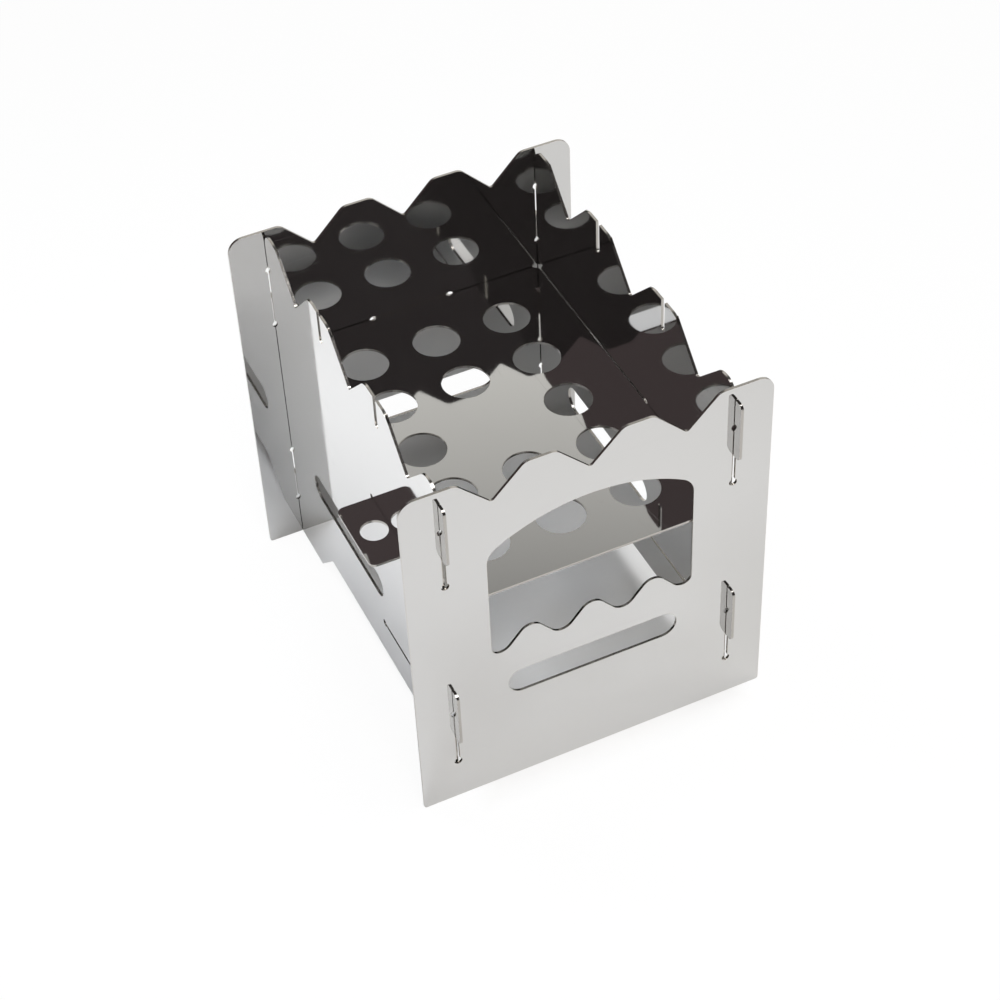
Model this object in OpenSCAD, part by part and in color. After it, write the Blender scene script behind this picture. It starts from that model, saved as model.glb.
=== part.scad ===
// Flat-pack hobo stove of laser-cut stainless sheet. Two side walls hook into slots
// in the rear and front panels, and a perforated fire grate is locked between them.
// The origin is on the ground under the middle of the fire box. The front panel
// faces -Y, the grate's handle points to -X, and +Z is up.

/* [Sheet] */
// Thickness of the sheet that every piece is cut from
sheet_t = 1; // [0.8:0.1:1.4]
// Height of the panels and of the side walls
panel_h = 150; // [145:1:190]
// Width of the front and rear panels over their wings
panel_w = 136; // [130:1:150]
// Radius of the upper corners of the panels
panel_corner_r = 6; // [2:0.5:8]
// Radius of the lower corners of the panels
panel_foot_r = 1; // [0.5:0.5:8]

/* [Fire box] */
// Clear width between the side walls
inner_w = 106.5; // [100:0.5:112]
// Clear depth between the front and rear panels
inner_d = 150.5; // [145:0.5:170]
// Gap between a side wall's end and the panel that it meets
seat_gap = 0.5; // [0.1:0.05:0.6]

/* [Rim] */
// Slope of the notch flanks from the horizontal, in degrees
flank_a = 45; // [40:1:50]
// Distance between neighbouring notches of the front and rear rims
rim_pitch = 35.5; // [33:0.1:40]
// Depth of the notches in the front and rear rims
rim_depth = 11.7; // [8:0.1:13]
// Distance between neighbouring notches of a side rim
side_pitch = 49.2; // [44:0.1:54]
// Depth of the notches in a side rim
side_depth = 15; // [10:0.1:16]
// How far the side rim's notches sit forward of the middle of the wall
side_shift = 1.2; // [0:0.1:3]
// Radius that rounds the shoulders of the teeth on the front and rear rims
tooth_r = 4.5; // [1:0.5:5]
// Radius that rounds the shoulders of the teeth on the side rims
side_tooth_r = 7.5; // [3:0.5:9]
// Radius at the bottom of a notch
root_r = 1.2; // [0.5:0.1:2]
// Radius of the upper corners of a side wall
wall_corner_r = 5; // [1:0.5:6]
// Width of the open slits in the side rims that carry cross bars
slit_w = 2.4; // [1.5:0.1:4]
// Depth of those slits
slit_depth = 13; // [8:0.1:16]

/* [Hook joints] */
// Distance from their mid height to the middle of the upper and lower slots
slot_offset = 44.3; // [42:0.1:50]
// How far that mid height of the slots lies above the middle of the panel
slot_lift = 0.5; // [0:0.1:1]
// Distance between the relief holes at the two ends of a slot
slot_span = 25.2; // [22:0.1:28]
// Diameter of the relief holes at the ends of the slots
relief_d = 3; // [2:0.1:4]
// Clearance on each face of a tab inside its slot
slot_gap = 0.2; // [0.1:0.05:0.3]
// How far a hook stands out of the panel
hook_reach = 4.2; // [4:0.1:8]
// Gap between a hook's finger and the face of the panel
finger_gap = 0.3; // [0.2:0.05:0.6]
// Play of a hook in the length of its slot
hook_play = 0.4; // [0.2:0.1:1]
// Radius of the outer corners of a hook
hook_r = 2; // [0.5:0.1:2.5]

/* [Fuel window] */
// Width of the window in the front panel
window_w = 77.2; // [68:0.1:84]
// Height of the lowest points of the wavy sill above the ground
window_z = 65.9; // [60:0.1:75]
// Height of the metal left between the window's arch and the notches of the rim
bridge_h = 12.2; // [6:0.1:25]
// Radius of the flat arch
arch_r = 68.7; // [55:0.1:90]
// Radius of the window's shoulders beside the arch
shoulder_r = 8; // [3:0.1:12]
// Height of the waves of the sill
wave_h = 8.3; // [5:0.1:9]
// Radius of the crests and troughs of the waves
wave_r = 5; // [3:0.1:5.5]
// Radius where the sill meets the sides of the window
sill_r = 3.3; // [1.5:0.1:4]

/* [Air vents] */
// Length of the long round-ended air vents
vent_l = 65.8; // [50:0.1:80]
// Height of the vents
vent_h = 11.2; // [6:0.1:13]
// Height of the middle of the vents above the ground
vent_z = 48.5; // [42:0.1:54]
// How far a side wall's vent sits behind the middle of the wall
vent_shift = 17.6; // [0:0.1:24]
// Height of the air gap under a side wall
arch_h = 13.5; // [8:0.1:18]
// Length of the foot at each end of a side wall
foot_l = 20.7; // [15:0.1:30]
// Radius of the inner corners of the air gap
arch_corner_r = 2; // [0.5:0.1:5]

/* [Fire grate] */
// Height of the middle of the grate above the ground
grate_z = 94.5; // [90:0.5:110]
// Height of the lower set of slots, which the grate also fits
low_z = 30.4; // [25:0.1:36]
// Gap between the grate's edges and the walls round it
grate_gap = 0.3; // [0.2:0.1:1]
// Size of the cut-off corners of the grate
grate_corner = 2; // [1:0.1:4]
// Distance between the relief holes of the slots that hold the grate
grate_span = 31.6; // [26:0.1:36]
// How far the grate's side tabs sit in front of the middle of the fire box
tab_shift = 29.6; // [20:0.1:34]
// Play of the grate's tabs in the length of their slots
tab_play = 0.6; // [0.2:0.1:1]
// How far the rear and right tabs stand out of their slots
tab_reach = 1.5; // [0.5:0.1:3]
// Radius of the outer corners of the tabs
tab_r = 1; // [0.3:0.1:1.2]
// Radius of the outer corners of the handle
handle_r = 2.5; // [1:0.1:4]
// Diameter of the hole in the handle
handle_d = 10; // [6:0.1:11]
// Distance from the end of the handle to the middle of its hole
handle_inset = 7.9; // [6.5:0.1:8.5]
// Diameter of the air holes
hole_d = 18; // [10:0.1:20]
// Distance between the columns of air holes, across the grate
hole_pitch_x = 29; // [24:0.1:32]
// Distance between the rows of air holes, from front to rear
hole_pitch_y = 26.1; // [23:0.1:30]

/* [Hidden] */
$fn = 96;
// Overrun of every cut past the edge that it opens
over = 1;

// Slots and the tabs that pass through them
slot_w = sheet_t + 2 * slot_gap;
mid_z = panel_h / 2 + slot_lift;
slot_heights = [mid_z - slot_offset, mid_z + slot_offset];
grate_heights = [low_z, grate_z];
tab_w = grate_span - tab_play;

// Side walls stand between the panels, under the slots in them
wall_l = inner_d - 2 * seat_gap;
wall_x = (inner_w + sheet_t) / 2;
outer_x = inner_w / 2 + sheet_t;
outer_y = inner_d / 2 + sheet_t;

// A hook fills half of its slot's length and its finger is the other half
hook_h = slot_span - hook_play;
hook_foot = hook_play / 2;
neck_top = (slot_span + relief_d) / 2 - hook_play;
finger_x = seat_gap + sheet_t + finger_gap;
hook_x = seat_gap + sheet_t + hook_reach;

// Wavy sill: crests and troughs are arcs joined by their common tangents
wave_pitch = (window_w - 2 * sill_r) / 3;
half_wave = wave_pitch / 2;
wave_mid = window_z + wave_h / 2;
wave_d = norm([half_wave, wave_h - 2 * wave_r]);
wave_a = asin(2 * wave_r / wave_d) + atan2(wave_h - 2 * wave_r, half_wave);

// Arch of the window and the shoulders that run into it
window_top = panel_h - rim_depth - bridge_h;
arch_z = window_top - arch_r;
shoulder_x = window_w / 2 - shoulder_r;
shoulder_z = arch_z + sqrt(pow(arch_r - shoulder_r, 2) - pow(shoulder_x, 2));
spring_x = shoulder_x * arch_r / (arch_r - shoulder_r);

// Handle ends flush with the wings of the panels
handle_x = panel_w / 2;
grate_w = inner_w - 2 * grate_gap;
grate_d = inner_d - 2 * grate_gap;

// Waste outside a rounded corner that points up and to the right
module corner_cut(r) {
  difference() {
    translate([-r, -r]) square(r + over);
    translate([-r, -r]) circle(r);
  }
}

// Waste at the four corners of a sheet that stands on the line y = 0
module corner_cuts(w, h, top_r, foot_r) {
  for (side = [0, 1]) {
    mirror([side, 0]) {
      translate([w / 2, h]) corner_cut(top_r);
      translate([w / 2, 0]) mirror([0, 1]) corner_cut(foot_r);
    }
  }
}

// V notch cut down from the line y = 0, with a round root and round shoulders
module notch(depth, shoulder) {
  rise = root_r / cos(flank_a);
  half_w = (depth + rise - root_r) / tan(flank_a);
  apex_y = -depth - rise + root_r;
  root_x = root_r * sin(flank_a);
  root_y = apex_y + root_x * tan(flank_a);
  ease = shoulder * tan(flank_a / 2);
  polygon([
    [-half_w, over], [-half_w, 0], [-root_x, root_y],
    [root_x, root_y], [half_w, 0], [half_w, over]
  ]);
  translate([0, apex_y + rise]) circle(root_r);
  for (side = [0, 1]) {
    mirror([side, 0]) difference() {
      polygon([
        [half_w, 0], [half_w - ease * cos(flank_a), -ease * sin(flank_a)],
        [half_w + ease, 0], [half_w + ease, over], [half_w, over]
      ]);
      translate([half_w + ease, -shoulder]) circle(shoulder);
    }
  }
}

// Narrow slot along X with a relief hole at each end
module slot(span) {
  square([span, slot_w], center = true);
  for (side = [-1, 1]) translate([side * span / 2, 0]) circle(d = relief_d);
}

// Round-ended air vent along X
module vent() {
  run = vent_l - vent_h;
  square([run, vent_h], center = true);
  for (side = [-1, 1]) translate([side * run / 2, 0]) circle(d = vent_h);
}

// One crest of the sill above its mid line, or a trough when mirrored
module wave_lobe() {
  tip_x = wave_r * sin(wave_a);
  hub_y = wave_h / 2 - wave_r;
  tip_y = hub_y + wave_r * cos(wave_a);
  polygon([[-half_wave / 2, 0], [-tip_x, tip_y], [tip_x, tip_y], [half_wave / 2, 0]]);
  translate([0, hub_y]) circle(wave_r);
}

// Last trough of the sill, which rounds up into the side of the window
module sill_end() {
  end_x = 3 * half_wave;
  intersection() {
    translate([end_x, 0]) mirror([0, 1]) wave_lobe();
    translate([end_x - half_wave, -wave_h]) square([half_wave, wave_h + over]);
  }
  translate([end_x, sill_r - wave_h / 2]) {
    circle(sill_r);
    square([sill_r, wave_h / 2]);
  }
}

// Fuel window: flat arch, rounded shoulders, straight sides and a wavy sill
module window() {
  difference() {
    union() {
      translate([-window_w / 2, wave_mid]) square([window_w, shoulder_z - wave_mid]);
      intersection() {
        translate([0, arch_z]) circle(arch_r, $fn = 2 * $fn);
        translate([-spring_x, wave_mid]) square([2 * spring_x, window_top - wave_mid]);
      }
      for (side = [-1, 1]) {
        translate([side * shoulder_x, shoulder_z]) circle(shoulder_r);
        translate([side * half_wave, wave_mid]) mirror([0, 1]) wave_lobe();
      }
      for (side = [0, 1]) mirror([side, 0]) translate([0, wave_mid]) sill_end();
    }
    for (crest = [-1:1]) translate([crest * wave_pitch, wave_mid]) wave_lobe();
  }
}

// Outline that the front and rear panels share, with the slots for the hooks
module panel_outline() {
  difference() {
    translate([-panel_w / 2, 0]) square([panel_w, panel_h]);
    corner_cuts(panel_w, panel_h, panel_corner_r, panel_foot_r);
    for (tooth = [-1:1]) translate([tooth * rim_pitch, panel_h]) notch(rim_depth, tooth_r);
    for (side = [-1, 1], z = slot_heights) {
      translate([side * wall_x, z]) rotate(90) slot(slot_span);
    }
    translate([0, vent_z]) vent();
  }
}

// Hook on the end of a side wall, pointing out along +X with its finger up.
// The origin is on the wall's end, level with the middle of the slot.
module hook() {
  difference() {
    translate([-over, hook_foot]) square([hook_x + over, hook_h]);
    translate([0, neck_top]) square([finger_x, slot_span]);
    translate([hook_x, hook_foot + hook_h]) corner_cut(hook_r);
    translate([hook_x, hook_foot]) mirror([0, 1]) corner_cut(hook_r);
  }
}

// Air gap under a side wall, with sloped ends
module base_arch() {
  foot_x = wall_l / 2 - foot_l;
  crown_x = foot_x - arch_h / tan(flank_a);
  ease = arch_corner_r * tan(flank_a / 2);
  slope_x = crown_x + ease * cos(flank_a);
  slope_y = arch_h - ease * sin(flank_a);
  polygon([
    [-foot_x, -over], [-foot_x, 0], [-slope_x, slope_y], [ease - crown_x, arch_h],
    [crown_x - ease, arch_h], [slope_x, slope_y], [foot_x, 0], [foot_x, -over]
  ]);
  for (side = [-1, 1]) {
    translate([side * (crown_x - ease), arch_h - arch_corner_r]) circle(arch_corner_r);
  }
}

// Open slit in a side rim, with a round end
module slit() {
  translate([-slit_w / 2, slit_w / 2 - slit_depth]) square([slit_w, slit_depth + over]);
  translate([0, slit_w / 2 - slit_depth]) circle(d = slit_w);
}

// Outline of a side wall seen from +X, with the front at -X of the drawing
module wall_outline() {
  difference() {
    union() {
      difference() {
        translate([-wall_l / 2, 0]) square([wall_l, panel_h]);
        for (side = [0, 1]) {
          mirror([side, 0]) translate([wall_l / 2, panel_h]) corner_cut(wall_corner_r);
        }
      }
      for (z = slot_heights, turn = [0, 180]) {
        translate([0, z]) rotate(turn) translate([-wall_l / 2, 0]) mirror([1, 0]) hook();
      }
    }
    translate([-side_shift, panel_h]) {
      for (tooth = [-1:1]) translate([tooth * side_pitch, 0]) notch(side_depth, side_tooth_r);
      for (side = [-1, 1]) translate([side * side_pitch / 2, 0]) slit();
    }
    base_arch();
    translate([vent_shift, vent_z]) vent();
    for (z = grate_heights) translate([-tab_shift, z]) slot(grate_span);
  }
}

// Sheet that stands across the stove, grown from the plane y towards -Y
module stand_across(y) {
  translate([0, y, 0]) rotate([90, 0, 0]) linear_extrude(sheet_t) children();
}

// Sheet that stands from front to rear, grown from the plane x towards +X
module stand_along(x) {
  translate([x, 0, 0]) rotate([90, 0, 90]) linear_extrude(sheet_t) children();
}

// Tab or handle that runs along +X from the origin
module tab(reach, r) {
  difference() {
    translate([-over, -tab_w / 2]) square([reach + over, tab_w]);
    for (side = [0, 1]) mirror([0, side]) translate([reach, tab_w / 2]) corner_cut(r);
  }
}

// Flat grate: three columns of air holes, the middle one left whole, a handle
// through the left wall and two tabs through the right wall and the rear panel
module grate_outline() {
  edge_x = grate_w / 2;
  edge_y = grate_d / 2;
  difference() {
    union() {
      polygon([
        [-edge_x + grate_corner, -edge_y], [edge_x - grate_corner, -edge_y],
        [edge_x, -edge_y + grate_corner], [edge_x, edge_y - grate_corner],
        [edge_x - grate_corner, edge_y], [-edge_x + grate_corner, edge_y],
        [-edge_x, edge_y - grate_corner], [-edge_x, -edge_y + grate_corner]
      ]);
      translate([-edge_x, -tab_shift]) mirror([1, 0]) tab(handle_x - edge_x, handle_r);
      translate([edge_x, -tab_shift]) tab(outer_x + tab_reach - edge_x, tab_r);
      translate([0, edge_y]) rotate(90) tab(outer_y + tab_reach - edge_y, tab_r);
    }
    translate([handle_inset - handle_x, -tab_shift]) circle(d = handle_d);
    for (column = [-1:1], row = [-2:2]) {
      if (column != 0 || row != 0) {
        translate([column * hole_pitch_x, row * hole_pitch_y]) circle(d = hole_d);
      }
    }
  }
}

module front_panel() {
  color("gainsboro") stand_across(-inner_d / 2) difference() {
    panel_outline();
    window();
  }
}

module rear_panel() {
  color("dimgray") stand_across(outer_y) difference() {
    panel_outline();
    for (z = grate_heights) translate([0, z]) slot(grate_span);
  }
}

module left_wall() {
  color("silver") stand_along(-outer_x) wall_outline();
}

module right_wall() {
  color("gray") stand_along(inner_w / 2) wall_outline();
}

module fire_grate() {
  color("darkgray") translate([0, 0, grate_z - sheet_t / 2]) {
    linear_extrude(sheet_t) grate_outline();
  }
}

front_panel();
rear_panel();
left_wall();
right_wall();
fire_grate();
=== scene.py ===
import bpy
import math
from mathutils import Matrix, Vector

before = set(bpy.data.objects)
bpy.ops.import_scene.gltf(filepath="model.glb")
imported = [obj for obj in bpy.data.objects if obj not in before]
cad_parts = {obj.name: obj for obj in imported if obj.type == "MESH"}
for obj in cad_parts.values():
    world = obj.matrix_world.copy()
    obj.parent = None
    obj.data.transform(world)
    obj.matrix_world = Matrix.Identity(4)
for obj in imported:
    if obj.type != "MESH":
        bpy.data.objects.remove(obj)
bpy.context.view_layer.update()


# ---- Rear panel ----
# The far end of the fire box, a 1 mm sheet of mirror-polished stainless steel that a
# laser cut to shape. Its polished faces carry a faint rolling grain and hairline
# scratches from handling, and its cut edge is satin, striated and slightly straw-tinted.

# Marks on the polished face: repeats in a metre, along the marks and then across them
grain_repeats = (14.0, 5200.0)
wipe_repeats = (30.0, 420.0)
film_repeats = 38.0
wipe_turn = 0.6

# Noise levels between which the film and the wipe marks come in
film_fade = (0.42, 0.78)
wipe_fade = (0.3, 0.7)
least_wiped = 0.55

# Three lays of hairlines: turn, repeats along and across, and the noise level they follow.
# Their width, and the patches that break them up, are in the stretched noise's own units
hairline_lays = (
    (0.35, 16.0, 330.0, 0.5),
    (-0.95, 22.0, 410.0, 0.46),
    (1.75, 26.0, 300.0, 0.55))
hairline_shift = (3.1, 7.7, 1.0)
hairline_half_width = 0.006
hairline_patch = 0.35
patch_fade = (0.56, 0.66)

# What the marks do: share of the reflection taken, roughness added, relief made
streak_tone, streak_relief = 0.03, 0.15
haze_tone, haze_dullness = 0.035, 0.03
scratch_tone, scratch_dullness, scratch_relief = 0.10, 0.06, 0.35

# The steel itself, before a sheet's own shine, and how rough its faces and edges are
bright_steel = (1.0, 0.991, 0.975)
hazed_steel = (0.69, 0.68, 0.665)
face_roughness = 0.035
cut_edge_roughness = 0.15
relief_depth, relief_strength = 0.00001, 0.5

# The laser's cut: where a face counts as cut edge, its colour, and its heat tint's reach
cut_edge_cosine = 0.7
cut_edge_colour = (0.42, 0.40, 0.375, 1.0)
heat_tint = (0.46, 0.36, 0.25, 1.0)
heat_tint_share = 0.45
heat_tint_reach = 0.00028
heat_tint_cosine = 0.80
groove_along_beam, groove_around_edge = 250.0, 5200.0
groove_relief = 6.0

# How far the pattern moves from one sheet to the next, times the sheet's seed
pattern_step = (0.37, 0.61, 1.13)


def add(tree, kind, at, **values):
    """A node at a place in the editor. Each value goes to the node's own setting of that
    name, or else to its input of that name."""
    node = tree.nodes.new(kind)
    node.location = at
    for key, value in values.items():
        if hasattr(node, key):
            setattr(node, key, value)
        else:
            node.inputs[key.replace("_", " ")].default_value = value
    return node


def wire(tree, *pairs):
    for start, end in pairs:
        tree.links.new(start, end)


def feed(tree, value, socket):
    """Link another node's output to the socket, or set the socket to a plain value."""
    if isinstance(value, bpy.types.NodeSocket):
        tree.links.new(value, socket)
    else:
        socket.default_value = value


def math_node(tree, at, operation, a, b=None, clamp=False):
    node = add(tree, "ShaderNodeMath", at, operation=operation, use_clamp=clamp)
    feed(tree, a, node.inputs[0])
    if b is not None:
        feed(tree, b, node.inputs[1])
    return node.outputs[0]


def weighed_pair(tree, at, operation, first, first_share, second, second_share, clamp=False):
    x, y = at
    return math_node(
        tree, at, operation,
        math_node(tree, (x - 100, y + 50), "MULTIPLY", first, first_share),
        math_node(tree, (x - 100, y - 50), "MULTIPLY", second, second_share), clamp)


def ramp_node(tree, at, value, low, high, out_low=0.0, out_high=1.0, shape="SMOOTHSTEP"):
    node = add(tree, "ShaderNodeMapRange", at, interpolation_type=shape, clamp=True,
               From_Min=low, From_Max=high, To_Min=out_low, To_Max=out_high)
    tree.links.new(value, node.inputs["Value"])
    return node.outputs["Result"]


def mapping_node(tree, at, vector, **values):
    node = add(tree, "ShaderNodeMapping", at, vector_type="POINT", **values)
    tree.links.new(vector, node.inputs["Vector"])
    return node.outputs[0]


def noise_node(tree, at, vector, **values):
    node = add(tree, "ShaderNodeTexNoise", at, **values)
    tree.links.new(vector, node.inputs["Vector"])
    return node.outputs["Fac"]


def dot_node(tree, at, first, second):
    node = add(tree, "ShaderNodeVectorMath", at, operation="DOT_PRODUCT")
    wire(tree, (first, node.inputs[0]), (second, node.inputs[1]))
    return node.outputs["Value"]


def colour_mix(tree, at, share, first, second, blend="MIX"):
    node = add(tree, "ShaderNodeMix", at, data_type="RGBA", blend_type=blend)
    for value, place in ((share, 0), (first, 6), (second, 7)):
        feed(tree, value, node.inputs[place])
    return node.outputs[2]


def new_group(name, inputs, outputs):
    tree = bpy.data.node_groups.new(name, "ShaderNodeTree")
    for socket, kind, value in inputs:
        made = tree.interface.new_socket(socket, in_out="INPUT", socket_type=kind)
        if value is not None:
            made.default_value = value
    for socket, kind in outputs:
        tree.interface.new_socket(socket, in_out="OUTPUT", socket_type=kind)
    given = add(tree, "NodeGroupInput", (-900, 0))
    return tree, given, add(tree, "NodeGroupOutput", (900, 0))


def sheet_polish_group():
    # The sheet's own plane is XY here, with the rolling direction along X, in metres.
    tree, given, made = new_group(
        "sheet_polish",
        [("Vector", "NodeSocketVector", None), ("Grain", "NodeSocketFloat", 1.0),
         ("Scratches", "NodeSocketFloat", 1.0), ("Haze", "NodeSocketFloat", 1.0)],
        [("Tone", "NodeSocketFloat"), ("Dullness", "NodeSocketFloat"),
         ("Height", "NodeSocketFloat")])
    place = given.outputs["Vector"]

    # Rolling grain: streaks hundreds of times longer than they are wide
    rolled = mapping_node(tree, (-650, 350), place, Scale=(*grain_repeats, 1.0))
    grain = noise_node(tree, (-450, 350), rolled, Scale=1.0, Detail=3.0, Roughness=0.6)
    streak = math_node(tree, (-200, 350), "SUBTRACT", grain, 0.5)
    streak = math_node(tree, (0, 350), "MULTIPLY", streak, given.outputs["Grain"])

    # Haze: the faint uneven film that handling and wiping leave
    film = noise_node(tree, (-450, 50), place,
                      Scale=film_repeats, Detail=4.0, Roughness=0.62, Distortion=0.6)
    film = ramp_node(tree, (-200, 50), film, *film_fade)
    wiped = mapping_node(tree, (-650, -150), place,
                         Scale=(*wipe_repeats, 1.0), Rotation=(0.0, 0.0, wipe_turn))
    wiped = noise_node(tree, (-450, -150), wiped, Scale=1.0, Detail=2.0, Roughness=0.5)
    wiped = ramp_node(tree, (-200, -150), wiped, *wipe_fade, least_wiped, 1.0)
    haze = math_node(tree, (0, 50), "MULTIPLY", film, wiped)
    haze = math_node(tree, (100, 50), "MULTIPLY", haze, given.outputs["Haze"])

    # Hairlines: the thin level lines of stretched noise, turned three ways and broken up
    hairlines = None
    for turn, along, across, level in hairline_lays:
        lay = mapping_node(tree, (-650, -400), place, Scale=(along, across, 1.0),
                           Rotation=(0.0, 0.0, turn),
                           Location=[turn * shift for shift in hairline_shift])
        line = noise_node(tree, (-450, -400), lay, Scale=1.0, Detail=0.0)
        off = math_node(tree, (-350, -400), "SUBTRACT", line, level)
        off = math_node(tree, (-250, -400), "ABSOLUTE", off)
        thin = ramp_node(tree, (-100, -400), off, 0.0, hairline_half_width, 1.0, 0.0)
        patch = noise_node(tree, (-450, -600), lay, Scale=hairline_patch, Detail=1.0)
        shown = ramp_node(tree, (-100, -600), patch, *patch_fade)
        cut = math_node(tree, (50, -400), "MULTIPLY", thin, shown)
        if hairlines is None:
            hairlines = cut
        else:
            hairlines = math_node(tree, (150, -400), "MAXIMUM", hairlines, cut)
    scratch = math_node(tree, (250, -400), "MULTIPLY", hairlines, given.outputs["Scratches"])

    # Tone is how much of the bare reflection is left; dullness is added roughness
    taken = weighed_pair(tree, (400, 200), "ADD", haze, haze_tone, scratch, scratch_tone)
    tone = math_node(tree, (500, 200), "SUBTRACT", 1.0, taken, clamp=True)
    lifted = math_node(tree, (500, 350), "MULTIPLY", streak, streak_tone)
    tone = math_node(tree, (600, 250), "ADD", tone, lifted, clamp=True)
    dull = weighed_pair(tree, (600, 0), "ADD",
                        haze, haze_dullness, scratch, scratch_dullness, clamp=True)
    height = weighed_pair(tree, (600, -300), "SUBTRACT",
                          streak, streak_relief, scratch, scratch_relief)
    wire(tree, (tone, made.inputs["Tone"]), (dull, made.inputs["Dullness"]),
         (height, made.inputs["Height"]))
    return tree


def cut_edge_group():
    # Facing is the direction that the sheet's polished faces look in.
    tree, given, made = new_group(
        "laser_cut_edge",
        [("Facing", "NodeSocketVector", None), ("Coordinates", "NodeSocketVector", None)],
        [("Edge", "NodeSocketFloat"), ("Burn", "NodeSocketFloat"),
         ("Height", "NodeSocketFloat")])

    # A face that looks well away from Facing is the cut edge
    own_frame = add(tree, "ShaderNodeTexCoord", (-900, 300))
    turned = dot_node(tree, (-650, 300), own_frame.outputs["Normal"], given.outputs["Facing"])
    turned = math_node(tree, (-550, 300), "ABSOLUTE", turned)
    edge = math_node(tree, (-450, 300), "LESS_THAN", turned, cut_edge_cosine)

    # The heat of the cut tints the last few tenths of a millimetre of the polished face
    soft = add(tree, "ShaderNodeBevel", (-650, 0), samples=4, Radius=heat_tint_reach)
    flat = add(tree, "ShaderNodeNewGeometry", (-650, -150))
    near = dot_node(tree, (-450, 0), soft.outputs[0], flat.outputs["Normal"])
    burn = ramp_node(tree, (-250, 0), near, heat_tint_cosine, 1.0, 1.0, 0.0)

    # Striations left by the beam: they run through the sheet's thickness
    grooves = noise_node(tree, (-450, -350), given.outputs["Coordinates"],
                         Scale=1.0, Detail=2.0, Roughness=0.6)
    height = math_node(tree, (0, -300), "MULTIPLY", grooves, edge)
    wire(tree, (edge, made.inputs["Edge"]), (burn, made.inputs["Burn"]),
         (height, made.inputs["Height"]))
    return tree


sheet_polish = sheet_polish_group()
laser_cut_edge = cut_edge_group()


def stainless_sheet(name, facing, plane_turn, seed,
                    grain=1.0, scratches=1.0, haze=1.0, shine=0.59):
    """Polished stainless sheet whose faces look along facing. plane_turn lays the sheet in
    the XY plane of the polish, and seed moves the pattern so that no two pieces match."""
    material = bpy.data.materials.new(name)
    material.use_nodes = True
    tree = material.node_tree
    shader = tree.nodes["Principled BSDF"]
    shader.inputs["Metallic"].default_value = 1.0

    place = add(tree, "ShaderNodeTexCoord", (-1400, 0)).outputs["Object"]
    lay = mapping_node(tree, (-1200, 100), place, Rotation=plane_turn,
                       Location=[seed * step for step in pattern_step])
    polish = add(tree, "ShaderNodeGroup", (-950, 150), node_tree=sheet_polish,
                 Grain=grain, Scratches=scratches, Haze=haze)
    grooves = mapping_node(tree, (-1200, -300), place, Scale=[
        groove_along_beam if abs(part) > 0.5 else groove_around_edge for part in facing])
    edge = add(tree, "ShaderNodeGroup", (-950, -250), node_tree=laser_cut_edge, Facing=facing)
    wire(tree, (lay, polish.inputs["Vector"]), (grooves, edge.inputs["Coordinates"]))

    # Polished face: pale neutral steel, a little darker in the haze and the scratches. Its
    # paleness is the steel's reflectance plus painted light. It is set sheet by sheet: paler
    # for sheets that look more lit, darker for sheets that look less lit.
    tone = colour_mix(tree, (-650, 300), polish.outputs["Tone"],
                      (*[part * shine for part in hazed_steel], 1.0),
                      (*[part * shine for part in bright_steel], 1.0))
    tint_share = math_node(tree, (-650, 50), "MULTIPLY", edge.outputs["Burn"], heat_tint_share)
    tinted = colour_mix(tree, (-450, 250), tint_share, tone, heat_tint)
    colour = colour_mix(tree, (-250, 200), edge.outputs["Edge"], tinted, cut_edge_colour)

    # Roughness: close to a mirror on the faces, satin on the cut edge
    face = math_node(tree, (-450, -50), "ADD", face_roughness, polish.outputs["Dullness"])
    rough = add(tree, "ShaderNodeMix", (-250, -50), data_type="FLOAT")
    rough.inputs[3].default_value = cut_edge_roughness
    wire(tree, (edge.outputs["Edge"], rough.inputs[0]), (face, rough.inputs[2]))

    # Relief: scratches a few microns deep, and the beam's grooves on the cut edge
    grooved = math_node(tree, (-600, -350), "MULTIPLY", edge.outputs["Height"], groove_relief)
    height = math_node(tree, (-450, -300), "ADD", polish.outputs["Height"], grooved)
    relief = add(tree, "ShaderNodeBump", (-250, -300),
                 Strength=relief_strength, Distance=relief_depth)
    wire(tree, (height, relief.inputs["Height"]),
         (colour, shader.inputs["Base Color"]), (rough.outputs[0], shader.inputs["Roughness"]),
         (relief.outputs[0], shader.inputs["Normal"]))
    return material


def dress(node, facing, plane_turn, seed, **marks):
    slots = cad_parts[node].data.materials
    slots.clear()
    slots.append(stainless_sheet(node + "_steel", facing, plane_turn, seed, **marks))


faces_front, faces_side, faces_up = (0.0, 1.0, 0.0), (1.0, 0.0, 0.0), (0.0, 0.0, 1.0)
upright_across = (math.radians(-90.0), 0.0, 0.0)
# The rear panel gets darker steel than the front panel. This is painted shade: the same steel
# made darker because the panel looks less lit.
dress("rear_panel", faces_front, upright_across, 1.0, grain=0.6, scratches=0.8, shine=0.55)


# ---- Side walls ----
# Two plates of one outline. Their hooks are part of the sheet: the rear pair points down
# behind the rear panel and the front pair points up in front of the front panel. The
# walls are rolled from front to rear, and were wiped at a slant to that.

upright_along = (math.radians(-90.0), math.radians(-90.0), 0.0)
# The left wall gets paler steel than the right wall. This is painted light: the same steel
# made paler because the left wall looks more lit.
dress("left_wall", faces_side, upright_along, 2.3, grain=0.7, haze=1.2, shine=0.64)
dress("right_wall", faces_side, upright_along, 3.9, grain=0.7, haze=0.9, shine=0.58)


# ---- Fire grate ----
# A flat plate with cut air holes, set between the walls as the stove is put together. Its
# handle passes out through the left wall, and tabs hold it in the right wall and the rear
# panel. It gets the palest steel of the five sheets, which is painted light: the same steel
# made paler because the plate looks more lit. Its grain is the faintest of the five.

lying_flat = (0.0, 0.0, math.radians(90.0))
dress("fire_grate", faces_up, lying_flat, 5.2, grain=0.5, scratches=0.8, shine=0.65)


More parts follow.
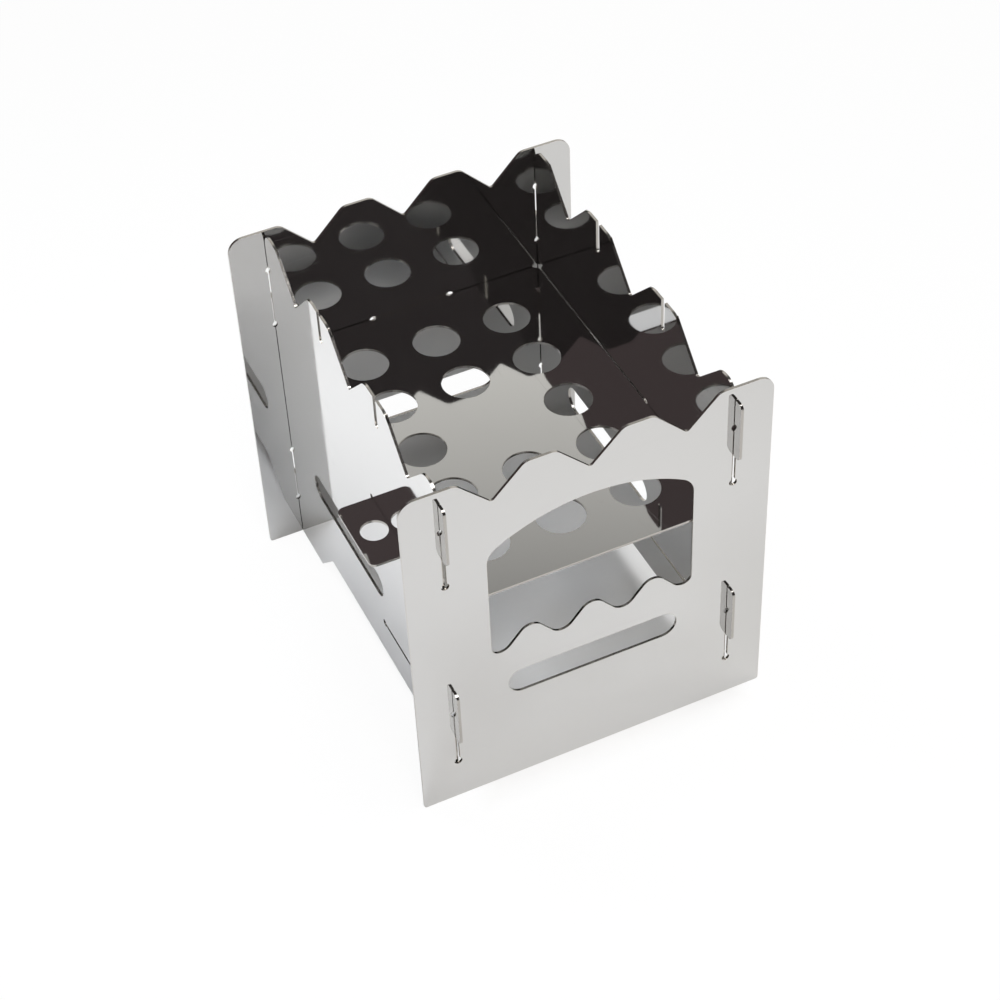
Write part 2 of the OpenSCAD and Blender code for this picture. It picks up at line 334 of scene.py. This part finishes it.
# ---- Front panel ----
# The near end, cut with the fuel window and its wavy sill. It is the last piece on: it
# drops over the walls' front hooks, and lifts off them again.

dress("front_panel", faces_front, upright_across, 7.7, grain=0.6, scratches=0.6, haze=0.7)


# ---- Table top ----
# A matt white table that the stove stands on. It is what the upright sheets mirror, so
# its own light decides how pale they look.

table_half, table_height = 4.0, -0.00005
table_colour = (0.93, 0.93, 0.925, 1.0)
table_roughness, table_gloss = 0.9, 0.1

# The camera sees the table's own shade near the stove, within these distances of a point a
# little to the right of its middle. Past them it turns white, over the length white_fade
shaded_middle_x, shaded_half_x, shaded_half_y = 0.008, 0.046, 0.0765
white_fade, white_share = 0.014, 0.94

table_mesh = bpy.data.meshes.new("table_top")
table_mesh.from_pydata(
    [(x * table_half, y * table_half, table_height)
     for x, y in ((-1, -1), (1, -1), (1, 1), (-1, 1))], [], [(0, 1, 2, 3)])
table_top = bpy.data.objects.new("table_top", table_mesh)
bpy.context.scene.collection.objects.link(table_top)

table_white = bpy.data.materials.new("table_white")
table_white.use_nodes = True
table_tree = table_white.node_tree
table_shader = table_tree.nodes["Principled BSDF"]
table_shader.inputs["Base Color"].default_value = table_colour
table_shader.inputs["Roughness"].default_value = table_roughness
table_shader.inputs["Specular IOR Level"].default_value = table_gloss

spot = add(table_tree, "ShaderNodeTexCoord", (-1200, -300))
spot_parts = add(table_tree, "ShaderNodeSeparateXYZ", (-1050, -300))
wire(table_tree, (spot.outputs["Object"], spot_parts.inputs[0]))
sideways = math_node(table_tree, (-950, -200), "SUBTRACT", spot_parts.outputs["X"],
                     shaded_middle_x)
sideways = math_node(table_tree, (-850, -200), "ABSOLUTE", sideways)
beside = math_node(table_tree, (-750, -200), "SUBTRACT", sideways, shaded_half_x)
lengthways = math_node(table_tree, (-850, -400), "ABSOLUTE", spot_parts.outputs["Y"])
beyond = math_node(table_tree, (-750, -400), "SUBTRACT", lengthways, shaded_half_y)
away = math_node(table_tree, (-650, -300), "MAXIMUM", beside, beyond)
away = ramp_node(table_tree, (-500, -300), away, 0.0, white_fade, 0.0, white_share)
table_rays = add(table_tree, "ShaderNodeLightPath", (-650, 0))
whitened = math_node(table_tree, (-300, -100), "MULTIPLY", away,
                     table_rays.outputs["Is Camera Ray"])
white = add(table_tree, "ShaderNodeEmission", (0, -200), Strength=1.0)
table_look = add(table_tree, "ShaderNodeMixShader", (250, 0))
wire(table_tree, (whitened, table_look.inputs[0]),
     (table_shader.outputs[0], table_look.inputs[1]), (white.outputs[0], table_look.inputs[2]),
     (table_look.outputs[0], table_tree.nodes["Material Output"].inputs["Surface"]))
table_mesh.materials.append(table_white)


# ---- Light and camera ----
# A soft studio: a softbox above to the right, one over the camera's side and a small cool
# one with a grid over the left rear. A pale backdrop stands behind to the right in a dim
# room. The mirror sheets show that room, and the camera sees plain white instead.

# The backdrop: its direction, the cosines from there at which it ends and is whole, the
# upward slopes between which its light falls off, and that light at the two
backdrop_turn = math.radians(45)
backdrop_ends, backdrop_whole = 0.50, 0.68
backdrop_low, backdrop_high = 0.615, 0.770
backdrop_low_light, backdrop_high_light = 0.98, 0.12
backdrop_tint = (1.0, 0.99, 0.95, 1.0)
room_in_front = (0.055, 0.048, 0.049, 1.0)
room_behind = (0.100, 0.080, 0.082, 1.0)
room_fade = (-0.2, 0.5)
ground_fade = (-0.02, 0.0)
far_ground = (0.8, 0.8, 0.8, 1.0)
plain_white = (1.0, 1.0, 1.0, 1.0)

studio = bpy.data.worlds.new("studio")
bpy.context.scene.world = studio
studio.use_nodes = True
sky = studio.node_tree
look = add(sky, "ShaderNodeTexCoord", (-1500, 0))
parts = add(sky, "ShaderNodeSeparateXYZ", (-1350, 0))
wire(sky, (look.outputs["Generated"], parts.inputs[0]))
look_x, look_y, look_z = parts.outputs["X"], parts.outputs["Y"], parts.outputs["Z"]

# How squarely a direction faces the backdrop, whatever its height. Its level part is kept
# off zero, so that straight up and down divide too
level = math_node(sky, (-1050, 200), "ADD",
                  math_node(sky, (-1200, 250), "MULTIPLY", look_x, look_x),
                  math_node(sky, (-1200, 150), "MULTIPLY", look_y, look_y))
level = math_node(sky, (-950, 200), "SQRT", level)
level = math_node(sky, (-900, 200), "MAXIMUM", level, 0.001)
toward = weighed_pair(sky, (-1000, 0), "ADD", look_x, math.sin(backdrop_turn),
                      look_y, math.cos(backdrop_turn))
squarely = math_node(sky, (-850, 100), "DIVIDE", toward, level)
pale_share = ramp_node(sky, (-700, 100), squarely, backdrop_ends, backdrop_whole)

backdrop_light = ramp_node(sky, (-700, 300), look_z, backdrop_low, backdrop_high,
                           backdrop_low_light, backdrop_high_light, shape="LINEAR")
backdrop = colour_mix(sky, (-550, 300), 1.0, backdrop_light, backdrop_tint, blend="MULTIPLY")
behind = ramp_node(sky, (-700, -50), look_y, *room_fade)
walls = colour_mix(sky, (-550, 50), behind, room_in_front, room_behind)
room = colour_mix(sky, (-400, 100), pale_share, walls, backdrop)
below = ramp_node(sky, (-700, -200), look_z, *ground_fade, 1.0, 0.0)
ground = colour_mix(sky, (-250, 100), below, room, far_ground)
rays = add(sky, "ShaderNodeLightPath", (-250, 400))
seen = colour_mix(sky, (-50, 100), rays.outputs["Is Camera Ray"], ground, plain_white)
wire(sky, (seen, sky.nodes["Background"].inputs["Color"]))


def softbox(name, size, place, aim, power, spread=180.0, colour=(1.0, 1.0, 1.0)):
    lamp = bpy.data.lights.new(name, "AREA")
    lamp.shape = "SQUARE"
    lamp.size = size
    lamp.energy = power
    lamp.color = colour
    lamp.spread = math.radians(spread)
    made = bpy.data.objects.new(name, lamp)
    made.location = place
    made.rotation_euler = (Vector(aim) - Vector(place)).to_track_quat("-Z", "Y").to_euler()
    bpy.context.scene.collection.objects.link(made)


softbox("top_softbox", 0.50, (0.18, -0.20, 1.15), (0.0, 0.0, 0.0), 6.5)
softbox("front_softbox", 0.30, (-0.12, -0.62, 1.10), (0.0, 0.0, 0.0), 6.6)
softbox("rear_softbox", 0.16, (-0.17, 0.16, 0.60), (-0.10, 0.10, 0.0), 0.38,
        spread=90.0, colour=(0.88, 0.93, 1.0))

bpy.context.scene.view_settings.view_transform = "Standard"

# The photograph's viewpoint, with its turns in radians and its lens in sensor widths
camera_place = (-0.24623, -0.57407, 0.66154)
turn_right, look_down, roll = 0.40524, 0.76890, -0.05187
sensor_width, lens_in_widths = 36.0, 2.3508

camera_data = bpy.data.cameras.new("camera")
camera_data.sensor_width = sensor_width
camera_data.lens = lens_in_widths * sensor_width
camera = bpy.data.objects.new("camera", camera_data)
bpy.context.scene.collection.objects.link(camera)
ahead = Vector((math.sin(turn_right) * math.cos(look_down),
                math.cos(turn_right) * math.cos(look_down), -math.sin(look_down)))
right = ahead.cross(Vector((0.0, 0.0, 1.0))).normalized()
up = right.cross(ahead)
right, up = (right * math.cos(roll) + up * math.sin(roll),
             up * math.cos(roll) - right * math.sin(roll))
camera.matrix_world = (Matrix.Translation(camera_place)
                       @ Matrix((right, up, -ahead)).transposed().to_4x4())
bpy.context.scene.camera = camera
